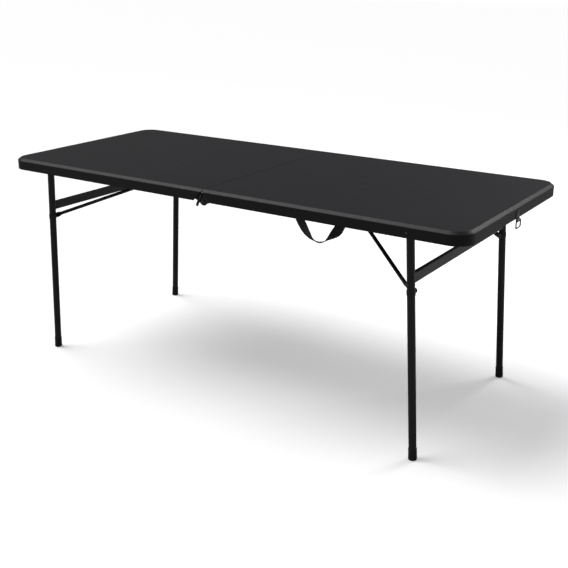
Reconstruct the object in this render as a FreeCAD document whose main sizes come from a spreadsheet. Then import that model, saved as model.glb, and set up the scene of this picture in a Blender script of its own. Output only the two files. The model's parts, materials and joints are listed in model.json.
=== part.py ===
import FreeCAD, Part
import math
import os

import Sketcher
from FreeCAD import Placement, Rotation, Vector

# Folding table that folds in half across its middle. Millimetres, +X along the length,
# +Z up, origin on the floor under the middle of the table. Each half is built once on
# the +X side and mirrored, and what sits along the front edge (-Y) is mirrored to the rear.

SIZES = {
    # how far a cutting piece runs past the face that it opens
    "margin": 1,
    # top
    "top_length": 1800,
    "top_width": 750,
    "table_height": 732,
    "edge_height": 40,
    "panel": 10.5,
    "skirt": 3.5,
    "corner_radius": 60,
    "bevel_width": 10,
    "bevel_height": 8,
    "seam_gap": 1,
    "seam_wall": 4,
    "seam_wall_reach": 330,
    "notch_half": 36,
    # side rails
    "rail_inner": 362.5,
    "rail_outer": 369.5,
    "rail_height": 27,
    "rail_wall": 1,
    "rail_start": 38,
    "rail_end": 850,
    "screw_first": 150,
    "screw_pitch": 165,
    "screw_shank": 1.6,
    "screw_head": 2.9,
    "screw_head_height": 1.5,
    "screw_bite": 6.5,
    # legs
    "pivot_x": 720.4,
    "pivot_z": 706.5,
    "splay": 3.52,
    "leg_y": 348,
    "leg_radius": 12,
    "leg_wall": 1.2,
    "leg_above": 8,
    "leg_below": 704,
    "cap_radius": 13.7,
    "cap_start": 670,
    "cap_overrun": 712,
    "bar_drop": 138.5,
    "bar_height": 28,
    "bar_depth": 15,
    "bar_wall": 1.2,
    "bar_reach": 340,
    # axles and bushes
    "axle_radius": 6,
    "axle_reach": 368.7,
    "bush_radius": 8,
    "bush_bore": 6.05,
    "bush_bore_end": 369,
    "bush_end": 371.5,
    "flange_radius": 10.5,
    "flange_face": 361,
    "end_screw_shank": 1.8,
    "end_screw_head": 4,
    "end_screw_tip": 369.8,
    "end_screw_face": 376.4,
    # brace
    "stud_drop": 178.8,
    "stud_radius": 4,
    "stud_tip": 338.5,
    "stud_head_radius": 7,
    "stud_head_face": 322.5,
    "stud_head_back": 325.2,
    "spacer_radius": 6.5,
    "spacer_face": 330.8,
    "collar_radius": 13.3,
    "collar_height": 16,
    "brace_y": 328,
    "brace_reach": 453.9,
    "brace_rod": 6,
    "brace_start": 12,
    "brace_bend": 24,
    "brace_cross": 32,
    "eye_radius": 9,
    "eye_thick": 5,
    "eye_bore": 4.08,
    "tongue_end": 14,
    "tongue_half": 6,
    # slide
    "slide_z": 704,
    "track_start": 80,
    "track_end": 331,
    "track_half": 15.5,
    "track_depth": 10,
    "track_sheet": 1.5,
    "carriage_half": 13.5,
    "carriage_length": 36,
    "carriage_bottom": 696,
    "carriage_top": 718.5,
    "carriage_bore": 6.06,
    "track_screw_first": 100,
    "track_screw_pitch": 105,
    "track_screw_head": 3.5,
    "track_screw_height": 1,
    # centre hinge
    "leaf_thick": 2.2,
    "left_leaf_face": 363.7,
    "right_leaf_face": 366.1,
    "arm_bottom": 697,
    "arm_top": 719,
    "arm_end": 100,
    "diamond_x": -5,
    "diamond_z": 700,
    "diamond_half": 21,
    "diamond_round": 4,
    "web_low": 681.5,
    "web_rise": 694,
    "leaf_head": 14,
    "bolt_radius": 3,
    "bolt_clearance": 3.08,
    "bolt_nut": 5,
    "bolt_head": 5.5,
    "bolt_back": 361.6,
    "bolt_nut_height": 1.8,
    "bolt_head_height": 2.5,
    "hinge_rivet": 2.5,
    "hinge_rivet_x": 55,
    "hinge_rivet_pitch": 30,
    "hinge_rivet_z": 708,
    "hinge_rivet_proud": 0.3,
    # lock lever
    "lever_x": -7,
    "lever_z": 711,
    "lever_face": 368.7,
    "lever_half": 4.6,
    "lever_length": 36,
    "lever_knob": 5.4,
    "lever_lean": 27,
    "lever_bore": 2.56,
    "lever_rivet": 2.5,
    "lever_rivet_head": 3.8,
    "lever_rivet_back": 371.1,
    "lever_rivet_height": 1.1,
    # carry handle
    "strap_left": 370.7,
    "strap_right": 507.5,
    "strap_plane": 370.5,
    "strap_width": 30,
    "strap_thick": 1.5,
    "strap_top": 708,
    "strap_exit": 690,
    "strap_low": 635,
    "strap_slant": 61,
    "strap_bow": 7.6,
    "strap_twist": 97,
    "strap_rivet": 2.5,
    "strap_rivet_z": 701,
    "strap_rivet_out": 371.4,
    "strap_rivet_in": 366,
    # latch and catch
    "latch_half": 14,
    "latch_sheet": 1.5,
    "latch_top": 716,
    "latch_pivot_x": 903.6,
    "latch_pivot_z": 686,
    "latch_barrel": 3.6,
    "latch_bore": 2.08,
    "wire_radius": 2,
    "loop_half": 18,
    "loop_drop": 22.5,
    "loop_corner": 4,
    "loop_foot": 12,
    "end_rivet_y": 9,
    "end_rivet_z": 709,
    "end_rivet": 1.6,
    "end_rivet_head": 3,
    "end_rivet_height": 1,
    "catch_half": 14,
    "catch_low": 702,
    "catch_shelf": 722,
    "catch_reach": 7.5,
    "catch_lip": 5,
    "catch_lip_half": 10,
}

RAIL_SCREWS = 5
TRACK_SCREWS = 3
ARM_RIVETS = 2
STRAP_STATIONS = 17
STRAP_EASE = 1.2
CUBIC_DEPTH = 0.75
TOLERANCE = 0.01

X_AXIS = Vector(1, 0, 0)
Y_AXIS = Vector(0, 1, 0)
TURNS = {"x": Rotation(Y_AXIS, 90), "y": Rotation(X_AXIS, -90), "z": Rotation()}
START_POINT, END_POINT, CENTRE_POINT = 1, 2, 3
ORIGIN_POINT = (-1, 1)

doc = FreeCAD.newDocument("FoldingTable")
sheet = doc.addObject("Spreadsheet::Sheet", "Sizes")
for row, (alias, number) in enumerate(SIZES.items(), 1):
    sheet.set(f"A{row}", alias)
    sheet.set(f"B{row}", str(number))
    sheet.setAlias(f"B{row}", alias)
doc.recompute()

# Places that several pieces share, as expressions over the sheet.
SKIRT_BOTTOM = "(Sizes.table_height - Sizes.edge_height)"
PANEL_BOTTOM = "(Sizes.table_height - Sizes.panel)"
RAIL_BOTTOM = f"({PANEL_BOTTOM} - Sizes.rail_height)"
RAIL_MIDDLE = "(-(Sizes.rail_inner + Sizes.rail_outer) / 2)"
HALF_LENGTH = "(Sizes.top_length / 2)"
HALF_WIDTH = "(Sizes.top_width / 2)"
STUD_X = "(Sizes.pivot_x + Sizes.stud_drop * sin(Sizes.splay))"
STUD_Z = "(Sizes.pivot_z - Sizes.stud_drop * cos(Sizes.splay))"
SLIDE_RISE = f"(Sizes.slide_z - {STUD_Z})"
SLIDE_X = f"({STUD_X} - sqrt(Sizes.brace_reach ^ 2 - {SLIDE_RISE} ^ 2))"
STRAP_LEAN = "((Sizes.strap_rivet_z - Sizes.strap_exit) / tan(Sizes.strap_slant))"

nodes = []


def value(expression):
    """The number that an expression over the sheet stands for."""
    return float(sheet.evalExpression(expression))


def node(item, label):
    """Make an object one of the table's pieces, under its own label."""
    item.Label = label
    nodes.append(item)
    return item


def place(item, corner):
    """Tie an object's position to three expressions."""
    for axis, expression in zip("xyz", corner):
        item.setExpression(f"Placement.Base.{axis}", expression)


def block(name, low, high):
    """A box between two corners."""
    item = doc.addObject("Part::Box", name)
    for side, start, end in zip(("Length", "Width", "Height"), low, high):
        item.setExpression(side, f"({end}) - ({start})")
    place(item, low)
    return item


def rod(name, along, radius, start, length):
    """A cylinder along one axis, from the centre of its first end."""
    item = doc.addObject("Part::Cylinder", name)
    item.setExpression("Radius", radius)
    item.setExpression("Height", length)
    item.Placement = Placement(Vector(), TURNS[along])
    place(item, start)
    return item


def front_rod(name, radius, x, z, near, far):
    """A cylinder along Y at the front edge, between two distances from the middle."""
    return rod(name, "y", radius, (x, f"-({far})", z), f"({far}) - ({near})")


def fuse(name, *pieces):
    item = doc.addObject("Part::MultiFuse", name)
    item.Shapes = list(pieces)
    return item


def cut(name, base, *tools):
    item = doc.addObject("Part::Cut", name)
    item.Base = base
    item.Tool = tools[0] if len(tools) == 1 else fuse(f"{name}_tools", *tools)
    return item


def group(name, *pieces):
    """Separate solids that share one node."""
    item = doc.addObject("Part::Compound", name)
    item.Links = list(pieces)
    return item


def mirrored(name, source, normal):
    item = doc.addObject("Part::Mirroring", name)
    item.Source = source
    item.Normal = normal
    return item


def rear_of(item):
    return mirrored(f"{item.Name}_rear", item, Y_AXIS)


def front_and_rear(name, item):
    return group(name, item, rear_of(item))


def on_leg(item):
    """Stand a piece, drawn straight down from the leg's pivot, at the leg's splay."""
    item.Placement = Placement(Vector(), Rotation(-Y_AXIS, SIZES["splay"]))
    item.setExpression("Placement.Rotation.Angle", "Sizes.splay")
    place(item, ("Sizes.pivot_x", "0", "Sizes.pivot_z"))
    return item


def new_body(name):
    return doc.addObject("PartDesign::Body", name)


def sketch_on(body, role, offset="0"):
    """A sketch parallel to one of the body's own origin planes."""
    plane = next(item for item in body.Origin.OriginFeatures if item.Role == role)
    sketch = body.newObject("Sketcher::SketchObject", f"{body.Name}_sketch")
    sketch.AttachmentSupport = [(plane, "")]
    sketch.MapMode = "FlatFace"
    sketch.setExpression("AttachmentOffset.Base.z", offset)
    return sketch


def hold_point(sketch, curve, point, where):
    """Hold a point of a curve at two expressions from the sketch's origin."""
    for direction, expression in zip(("DistanceX", "DistanceY"), where):
        rule = Sketcher.Constraint(direction, *ORIGIN_POINT, curve, point, value(expression))
        sketch.setExpression(f"Constraints[{sketch.addConstraint(rule)}]", expression)


def draw_outline(sketch, corners, closed=True):
    """Straight sides through the corners."""
    points = [Vector(value(x), value(y), 0) for x, y in corners]
    ends = points[1:] + points[:1] if closed else points[1:]
    lines = [sketch.addGeometry(Part.LineSegment(*pair)) for pair in zip(points, ends)]
    joined = zip(lines, lines[1:] + lines[:1]) if closed else zip(lines, lines[1:])
    for line, following in joined:
        sketch.addConstraint(Sketcher.Constraint("Coincident", line, END_POINT, following, START_POINT))
    for line, corner in zip(lines, corners):
        hold_point(sketch, line, START_POINT, corner)
    if not closed:
        hold_point(sketch, lines[-1], END_POINT, corners[-1])


def draw_circle(sketch, centre, radius):
    middle = Vector(value(centre[0]), value(centre[1]), 0)
    circle = sketch.addGeometry(Part.Circle(middle, Vector(0, 0, 1), value(radius)))
    hold_point(sketch, circle, CENTRE_POINT, centre)
    rule = Sketcher.Constraint("Radius", circle, value(radius))
    sketch.setExpression(f"Constraints[{sketch.addConstraint(rule)}]", radius)


def extrude(body, kind, sketch, length, reverse=False):
    """Pad or pocket a sketch by a length, and check that it changed the solid."""
    before = 0 if body.Shape.isNull() else body.Shape.Volume
    feature = body.newObject(f"PartDesign::{kind}", f"{body.Name}_{kind}")
    feature.Profile = sketch
    feature.Reversed = reverse
    feature.setExpression("Length", length)
    doc.recompute()
    change = body.Shape.Volume - before
    if (change > TOLERANCE) != (kind == "Pad") or abs(change) < TOLERANCE:
        raise RuntimeError(f"{feature.Name} does not change {body.Name} the way it should")
    return feature


def edges_where(shape, test):
    return [f"Edge{count}" for count, edge in enumerate(shape.Edges, 1) if test(edge)]


def draw_half_top(sketch, x_low, x_high, half_width, radius):
    """A rectangle with its two far corners rounded."""
    arc_x, arc_y = f"{x_high} - ({radius})", f"{half_width} - ({radius})"
    sides = [
        ((arc_x, half_width), (x_low, half_width)),
        ((x_low, half_width), (x_low, f"-{half_width}")),
        ((x_low, f"-{half_width}"), (arc_x, f"-{half_width}")),
        ((x_high, f"-({arc_y})"), (x_high, arc_y)),
    ]
    lines = []
    for ends in sides:
        points = [Vector(value(x), value(y), 0) for x, y in ends]
        lines.append(sketch.addGeometry(Part.LineSegment(*points)))
        hold_point(sketch, lines[-1], START_POINT, ends[0])
        hold_point(sketch, lines[-1], END_POINT, ends[1])
    turns = ((f"-({arc_y})", -math.pi / 2, lines[2], lines[3]), (arc_y, 0, lines[3], lines[0]))
    for centre_y, first, before, after in turns:
        circle = Part.Circle(Vector(value(arc_x), value(centre_y), 0), Vector(0, 0, 1), value(radius))
        arc = sketch.addGeometry(Part.ArcOfCircle(circle, first, first + math.pi / 2))
        sketch.addConstraint(Sketcher.Constraint("Coincident", before, END_POINT, arc, START_POINT))
        sketch.addConstraint(Sketcher.Constraint("Coincident", arc, END_POINT, after, START_POINT))
        rule = Sketcher.Constraint("Radius", arc, value(radius))
        sketch.setExpression(f"Constraints[{sketch.addConstraint(rule)}]", radius)


def rectangle(x_low, x_high, y_low, y_high):
    return [(x_low, y_low), (x_high, y_low), (x_high, y_high), (x_low, y_high)]


def make_top():
    """Half of the top: a flat panel with a skirt, open below, and a wall along the seam."""
    body = new_body("TopHalf")
    place(body, ("0", "0", SKIRT_BOTTOM))
    outline = sketch_on(body, "XY_Plane")
    draw_half_top(outline, "Sizes.seam_gap", HALF_LENGTH, HALF_WIDTH, "Sizes.corner_radius")
    extrude(body, "Pad", outline, "Sizes.edge_height")

    # The top edge is bevelled all round except along the seam.
    def on_rim(edge):
        level = all(abs(v.Point.z - value("Sizes.edge_height")) < TOLERANCE for v in edge.Vertexes)
        seam = all(abs(v.Point.x - value("Sizes.seam_gap")) < TOLERANCE for v in edge.Vertexes)
        return level and not seam

    rounded = body.Tip
    bevel = body.newObject("PartDesign::Chamfer", "TopHalf_bevel")
    bevel.Base = (rounded, edges_where(rounded.Shape, on_rim))
    bevel.ChamferType = "Two distances"
    bevel.setExpression("Size", "Sizes.bevel_width")
    bevel.setExpression("Size2", "Sizes.bevel_height")
    doc.recompute()
    top_face = max(body.Shape.Faces, key=lambda face: face.CenterOfMass.z)
    if abs(top_face.BoundBox.XMax - value(f"{HALF_LENGTH} - Sizes.bevel_width")) > TOLERANCE:
        bevel.FlipDirection = True
        doc.recompute()

    inner_x = f"({HALF_LENGTH} - Sizes.skirt)"
    inner_y = f"({HALF_WIDTH} - Sizes.skirt)"
    wall_x = "(Sizes.seam_gap + Sizes.seam_wall)"
    hollow = sketch_on(body, "XY_Plane")
    draw_half_top(hollow, wall_x, inner_x, inner_y, "Sizes.corner_radius - Sizes.skirt")
    extrude(body, "Pocket", hollow, "Sizes.edge_height - Sizes.panel", True)

    # The seam wall stops short of the rails, which leaves room for the hinges and the feet.
    for side in ("", "-"):
        near, far = f"{side}Sizes.seam_wall_reach", f"{side}{inner_y}"
        gap = sketch_on(body, "XY_Plane")
        draw_outline(gap, rectangle("0", wall_x, near, far))
        extrude(body, "Pocket", gap, "Sizes.edge_height - Sizes.panel", True)

    # A V notch in the skirt shows the hinge at the front and the rear.
    notch = [("0", "0"), ("Sizes.notch_half", "0"), ("0", "Sizes.notch_half")]
    for face, reverse in ((HALF_WIDTH, False), (f"-{HALF_WIDTH}", True)):
        opening = sketch_on(body, "XZ_Plane", face)
        draw_outline(opening, notch)
        extrude(body, "Pocket", opening, "Sizes.skirt", reverse)

    axle_hole = sketch_on(body, "XZ_Plane", HALF_WIDTH)
    draw_circle(axle_hole, ("Sizes.pivot_x", f"Sizes.pivot_z - {SKIRT_BOTTOM}"), "Sizes.end_screw_shank")
    extrude(body, "Pocket", axle_hole, "Sizes.top_width")
    end_holes = sketch_on(body, "YZ_Plane", HALF_LENGTH)
    for side in ("", "-"):
        centre = (f"{side}Sizes.end_rivet_y", f"Sizes.end_rivet_z - {SKIRT_BOTTOM}")
        draw_circle(end_holes, centre, "Sizes.end_rivet")
    extrude(body, "Pocket", end_holes, "2 * Sizes.skirt")
    return body


def rail_screw_places():
    return [f"(Sizes.screw_first + {count} * Sizes.screw_pitch)" for count in range(RAIL_SCREWS)]


def arm_rivet_places():
    return [f"(Sizes.hinge_rivet_x + {count} * Sizes.hinge_rivet_pitch)" for count in range(ARM_RIVETS)]


def make_rail(name, *extra_holes):
    """A rectangular steel tube, holed for its screws, the axle bush and the hinge rivets."""
    low = ("Sizes.rail_start", "-Sizes.rail_outer", RAIL_BOTTOM)
    high = ("Sizes.rail_end", "-Sizes.rail_inner", PANEL_BOTTOM)
    wall = "Sizes.rail_wall"
    skin = block(f"{name}_skin", low, high)
    room_low = (f"{low[0]} - Sizes.margin", f"{low[1]} + {wall}", f"{low[2]} + {wall}")
    room_high = (f"{high[0]} + Sizes.margin", f"{high[1]} - {wall}", f"{high[2]} - {wall}")
    holes = [block(f"{name}_room", room_low, room_high)]
    drill = "Sizes.rail_height + 2 * Sizes.margin"
    for x in rail_screw_places():
        start = (x, RAIL_MIDDLE, f"{RAIL_BOTTOM} - Sizes.margin")
        holes.append(rod(f"{name}_screw_hole", "z", "Sizes.screw_shank", start, drill))
    span = ("Sizes.rail_inner - Sizes.margin", "Sizes.rail_outer + Sizes.margin")
    for x in arm_rivet_places():
        holes.append(front_rod(f"{name}_rivet_hole", "Sizes.hinge_rivet", x, "Sizes.hinge_rivet_z", *span))
    holes.append(front_rod(f"{name}_bush_hole", "Sizes.bush_radius", "Sizes.pivot_x", "Sizes.pivot_z", *span))
    return cut(name, skin, *holes, *extra_holes)


def make_rail_screws():
    """Screws up through the rails into the panel."""
    screws = []
    for x in rail_screw_places():
        head_start = (x, RAIL_MIDDLE, f"{RAIL_BOTTOM} - Sizes.screw_head_height")
        head = rod("RailScrewHead", "z", "Sizes.screw_head", head_start, "Sizes.screw_head_height")
        length = "Sizes.rail_height + Sizes.screw_bite"
        shank = rod("RailScrewShank", "z", "Sizes.screw_shank", (x, RAIL_MIDDLE, RAIL_BOTTOM), length)
        screws.append(fuse("RailScrew", head, shank))
    return front_and_rear("RailScrews", group("FrontRailScrews", *screws))


def make_bushes():
    """Nylon bushes through the rails, which carry the ends of the axle."""
    at = ("Sizes.pivot_x", "Sizes.pivot_z")
    flange = front_rod("BushFlange", "Sizes.flange_radius", *at, "Sizes.flange_face", "Sizes.rail_inner")
    sleeve = front_rod("BushSleeve", "Sizes.bush_radius", *at, "Sizes.rail_inner", "Sizes.bush_end")
    mouth = "Sizes.flange_face - Sizes.margin"
    bore = front_rod("BushBore", "Sizes.bush_bore", *at, mouth, "Sizes.bush_bore_end")
    return front_and_rear("AxleBushes", cut("AxleBush", fuse("BushBlank", flange, sleeve), bore))


def make_end_screws():
    """Bright screws through the skirt into the closed ends of the bushes."""
    at = ("Sizes.pivot_x", "Sizes.pivot_z")
    head = front_rod("EndScrewHead", "Sizes.end_screw_head", *at, HALF_WIDTH, "Sizes.end_screw_face")
    shank = front_rod("EndScrewShank", "Sizes.end_screw_shank", *at, "Sizes.end_screw_tip", HALF_WIDTH)
    return front_and_rear("AxleEndScrews", fuse("AxleEndScrew", head, shank))


def make_leg():
    """One leg tube, holed for the axle and for the brace stud."""
    y = "-Sizes.leg_y"
    length = "Sizes.leg_above + Sizes.leg_below"
    skin = rod("LegSkin", "z", "Sizes.leg_radius", ("0", y, "-Sizes.leg_below"), length)
    room_start = ("0", y, "-Sizes.leg_below - Sizes.margin")
    drill = f"{length} + 2 * Sizes.margin"
    room = rod("LegRoom", "z", "Sizes.leg_radius - Sizes.leg_wall", room_start, drill)
    reach = "2 * Sizes.leg_radius"
    span = (f"Sizes.leg_y - {reach}", f"Sizes.leg_y + {reach}")
    axle_hole = front_rod("LegAxleHole", "Sizes.axle_radius", "0", "0", *span)
    span = (f"Sizes.leg_y - {reach}", "Sizes.leg_y")
    stud_hole = front_rod("LegStudHole", "Sizes.stud_radius", "0", "-Sizes.stud_drop", *span)
    return on_leg(cut("Leg", skin, room, axle_hole, stud_hole))


def make_foot_cap():
    """A rubber cap on the leg's end, cut level with the floor."""
    y = "-Sizes.leg_y"
    length = "Sizes.cap_overrun - Sizes.cap_start"
    skin = rod("CapSkin", "z", "Sizes.cap_radius", ("0", y, "-Sizes.cap_overrun"), length)
    room_start = ("0", y, "-Sizes.leg_below")
    drill = "Sizes.leg_below - Sizes.cap_start + Sizes.margin"
    room = rod("CapRoom", "z", "Sizes.leg_radius", room_start, drill)
    blank = on_leg(cut("CapBlank", skin, room))
    reach = "4 * Sizes.cap_radius"
    low = (f"Sizes.pivot_x - {reach}", f"-Sizes.leg_y - {reach}", f"-{reach}")
    high = (f"Sizes.pivot_x + 2 * {reach}", f"-Sizes.leg_y + {reach}", "0")
    return cut("FootCap", blank, block("Floor", low, high))


def make_crossbar():
    """A rectangular tube between the legs, coped to fit them."""
    half_depth, half_height = "Sizes.bar_depth / 2", "Sizes.bar_height / 2"
    reach, wall = "Sizes.bar_reach", "Sizes.bar_wall"
    low = (f"-{half_depth}", f"-{reach}", f"-Sizes.bar_drop - {half_height}")
    high = (half_depth, reach, f"-Sizes.bar_drop + {half_height}")
    skin = block("BarSkin", low, high)
    room_low = (f"{low[0]} + {wall}", f"{low[1]} - Sizes.margin", f"{low[2]} + {wall}")
    room_high = (f"{high[0]} - {wall}", f"{high[1]} + Sizes.margin", f"{high[2]} - {wall}")
    room = block("BarRoom", room_low, room_high)
    start = ("0", "-Sizes.leg_y", "-2 * Sizes.bar_drop")
    cope = rod("BarCope", "z", "Sizes.leg_radius", start, "2 * Sizes.bar_drop")
    return on_leg(cut("Crossbar", skin, room, cope, rear_of(cope)))


def make_collar():
    """A band round the leg where the brace stud passes."""
    start = ("0", "-Sizes.leg_y", "-Sizes.stud_drop - Sizes.collar_height / 2")
    skin = rod("CollarSkin", "z", "Sizes.collar_radius", start, "Sizes.collar_height")
    room = rod("CollarRoom", "z", "Sizes.leg_radius", start, "Sizes.collar_height")
    span = ("Sizes.leg_y - 2 * Sizes.leg_radius", "Sizes.leg_y")
    hole = front_rod("CollarHole", "Sizes.stud_radius", "0", "-Sizes.stud_drop", *span)
    return on_leg(cut("BraceCollar", skin, room, hole))


def make_stud():
    """The stud that the brace swings on, with its head and its spacer."""
    at = ("0", "-Sizes.stud_drop")
    shank = front_rod("StudShank", "Sizes.stud_radius", *at, "Sizes.stud_head_back", "Sizes.stud_tip")
    head_span = ("Sizes.stud_head_face", "Sizes.stud_head_back")
    head = front_rod("StudHead", "Sizes.stud_head_radius", *at, *head_span)
    spacer_end = "Sizes.leg_y - Sizes.collar_radius"
    spacer = front_rod("StudSpacer", "Sizes.spacer_radius", *at, "Sizes.spacer_face", spacer_end)
    return on_leg(fuse("BraceStud", shank, head, spacer))


def make_brace():
    """A bent steel rod: two arms that meet at a short cross piece, with flattened eyes."""
    body = new_body("Brace")
    turn = f"180 deg + asin({SLIDE_RISE} / Sizes.brace_reach)"
    body.Placement = Placement(Vector(), Rotation(Y_AXIS, 180))
    body.setExpression("Placement.Rotation.Angle", turn)
    place(body, (STUD_X, "0", STUD_Z))
    route = sketch_on(body, "XY_Plane")
    half = [
        ("Sizes.brace_start", "Sizes.brace_y"),
        ("Sizes.brace_bend", "Sizes.brace_y"),
        ("Sizes.brace_reach", "Sizes.brace_cross"),
    ]
    other = [(x, f"-{y}") for x, y in reversed(half)]
    draw_outline(route, half + other, closed=False)
    section = sketch_on(body, "YZ_Plane", "Sizes.brace_start")
    draw_circle(section, ("Sizes.brace_y", "0"), "Sizes.brace_rod")
    pipe = body.newObject("PartDesign::AdditivePipe", "BraceRod")
    pipe.Profile = section
    pipe.Spine = (route, [f"Edge{count}" for count in range(1, 2 * len(half))])
    pipe.Transition = "Round corner"
    doc.recompute()

    for side in ("", "-"):
        face = f"{side}Sizes.brace_y - Sizes.eye_thick / 2"
        for drawing in ("disc", "tongue"):
            sketch = sketch_on(body, "XZ_Plane", face)
            if drawing == "disc":
                draw_circle(sketch, ("0", "0"), "Sizes.eye_radius")
            else:
                high = "Sizes.tongue_half"
                draw_outline(sketch, rectangle("0", "Sizes.tongue_end", f"-{high}", high))
            extrude(body, "Pad", sketch, "Sizes.eye_thick")
        bore = sketch_on(body, "XZ_Plane", f"{face} - Sizes.margin")
        draw_circle(bore, ("0", "0"), "Sizes.eye_bore")
        extrude(body, "Pocket", bore, "Sizes.eye_thick + 2 * Sizes.margin", True)
    return body


def make_carriage():
    """A nylon block on the brace's cross piece, which runs between the track's walls."""
    half = "Sizes.carriage_length / 2"
    low = (f"{SLIDE_X} - {half}", "-Sizes.carriage_half", "Sizes.carriage_bottom")
    high = (f"{SLIDE_X} + {half}", "Sizes.carriage_half", "Sizes.carriage_top")
    start = (SLIDE_X, "-Sizes.carriage_half - Sizes.margin", "Sizes.slide_z")
    bore = rod("CarriageBore", "y", "Sizes.carriage_bore", start, "2 * (Sizes.carriage_half + Sizes.margin)")
    return cut("Carriage", block("CarriageBlock", low, high), bore)


def track_screw_places():
    return [f"(Sizes.track_screw_first + {count} * Sizes.track_screw_pitch)" for count in range(TRACK_SCREWS)]


def make_track():
    """A steel channel under the panel, open below."""
    low = ("Sizes.track_start", "-Sizes.track_half", f"{PANEL_BOTTOM} - Sizes.track_depth")
    high = ("Sizes.track_end", "Sizes.track_half", PANEL_BOTTOM)
    inner = "(Sizes.track_half - Sizes.track_sheet)"
    room_low = (f"{low[0]} - Sizes.margin", f"-{inner}", f"{low[2]} - Sizes.margin")
    room_high = (f"{high[0]} + Sizes.margin", inner, f"{high[2]} - Sizes.track_sheet")
    holes = [block("TrackRoom", room_low, room_high)]
    for x in track_screw_places():
        start = (x, "0", f"{PANEL_BOTTOM} - 2 * Sizes.track_sheet")
        holes.append(rod("TrackHole", "z", "Sizes.screw_shank", start, "3 * Sizes.track_sheet"))
    return cut("SlideTrack", block("TrackSkin", low, high), *holes)


def make_track_screws():
    screws = []
    for x in track_screw_places():
        seat = f"{PANEL_BOTTOM} - Sizes.track_sheet"
        head_start = (x, "0", f"{seat} - Sizes.track_screw_height")
        head = rod("TrackScrewHead", "z", "Sizes.track_screw_head", head_start, "Sizes.track_screw_height")
        length = "Sizes.track_sheet + Sizes.screw_bite"
        shank = rod("TrackScrewShank", "z", "Sizes.screw_shank", (x, "0", seat), length)
        screws.append(fuse("TrackScrew", head, shank))
    return group("TrackScrews", *screws)


def round_corners(body, radius):
    """Fillet a plate's edges that run along Y, through its thickness."""
    def runs_through(edge):
        return abs(edge.tangentAt(edge.FirstParameter).y) > 1 - TOLERANCE

    blank = body.Tip
    fillet = body.newObject("PartDesign::Fillet", f"{body.Name}_round")
    fillet.Base = (blank, edges_where(body.Shape, runs_through))
    fillet.setExpression("Radius", radius)
    doc.recompute()


def make_leaf(name, face, drawings, pivot_hole, extra_holes=(), rounding=None):
    """A hinge leaf: drawings padded to the sheet's thickness, then holed. The corners of the
    first drawing are rounded where a radius is given."""
    body = new_body(name)
    for count, draw in enumerate(drawings):
        sketch = sketch_on(body, "XZ_Plane", face)
        draw(sketch)
        extrude(body, "Pad", sketch, "Sizes.leaf_thick")
        if rounding and count == 0:
            round_corners(body, rounding)
    holes = [(("0", SKIRT_BOTTOM), pivot_hole)]
    holes += [((x, "Sizes.hinge_rivet_z"), "Sizes.hinge_rivet") for x in arm_rivet_places()]
    for centre, radius in holes + list(extra_holes):
        sketch = sketch_on(body, "XZ_Plane", face)
        draw_circle(sketch, centre, radius)
        extrude(body, "Pocket", sketch, "Sizes.leaf_thick", True)
    return body


def make_right_leaf():
    """The right leaf: a rounded square on its corner, a web and an arm inside the rail."""
    x, z, half = "Sizes.diamond_x", "Sizes.diamond_z", "Sizes.diamond_half"
    square = [(f"{x} + {half}", z), (x, f"{z} + {half}"), (f"{x} - {half}", z), (x, f"{z} - {half}")]
    web = [
        ("0", "Sizes.web_low"),
        ("Sizes.rail_start", "Sizes.web_rise"),
        ("Sizes.rail_start", "Sizes.arm_top"),
        ("0", "Sizes.arm_top"),
    ]
    arm = rectangle("Sizes.rail_start", "Sizes.arm_end", "Sizes.arm_bottom", "Sizes.arm_top")
    outlines = (square, web, arm)
    drawings = [lambda sketch, corners=corners: draw_outline(sketch, corners) for corners in outlines]
    lever_hole = (("Sizes.lever_x", "Sizes.lever_z"), "Sizes.lever_rivet")
    holes = ("Sizes.bolt_radius", [lever_hole])
    return make_leaf("RightLeaf", "Sizes.right_leaf_face", drawings, *holes, "Sizes.diamond_round")


def make_left_leaf():
    """The left leaf, drawn on the +X side: a round head, a web and an arm inside the rail."""
    web = [
        ("0", "Sizes.arm_top"),
        ("Sizes.arm_end", "Sizes.arm_top"),
        ("Sizes.arm_end", "Sizes.arm_bottom"),
        ("Sizes.rail_start", "Sizes.arm_bottom"),
        ("Sizes.leaf_head / 2", f"{SKIRT_BOTTOM} - Sizes.leaf_head / 2"),
    ]
    head = [
        lambda sketch: draw_outline(sketch, web),
        lambda sketch: draw_circle(sketch, ("0", SKIRT_BOTTOM), "Sizes.leaf_head"),
    ]
    return make_leaf("LeftLeaf", "Sizes.left_leaf_face", head, "Sizes.bolt_clearance")


def make_hinge_bolt():
    at = ("0", SKIRT_BOTTOM)
    back, seat = "Sizes.bolt_back", "Sizes.right_leaf_face + Sizes.leaf_thick"
    shank = front_rod("BoltShank", "Sizes.bolt_radius", *at, back, seat)
    nut = front_rod("BoltNut", "Sizes.bolt_nut", *at, back, f"{back} + Sizes.bolt_nut_height")
    head = front_rod("BoltHead", "Sizes.bolt_head", *at, seat, f"{seat} + Sizes.bolt_head_height")
    return fuse("HingeBolt", shank, nut, head)


def make_hinge_rivets():
    proud = "Sizes.hinge_rivet_proud"
    span = (f"Sizes.rail_inner - {proud}", f"Sizes.rail_outer + {proud}")
    rivets = [
        front_rod("HingeRivet", "Sizes.hinge_rivet", x, "Sizes.hinge_rivet_z", *span)
        for x in arm_rivet_places()
    ]
    return front_and_rear("HingeRivets", group("FrontHingeRivets", *rivets))


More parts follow.
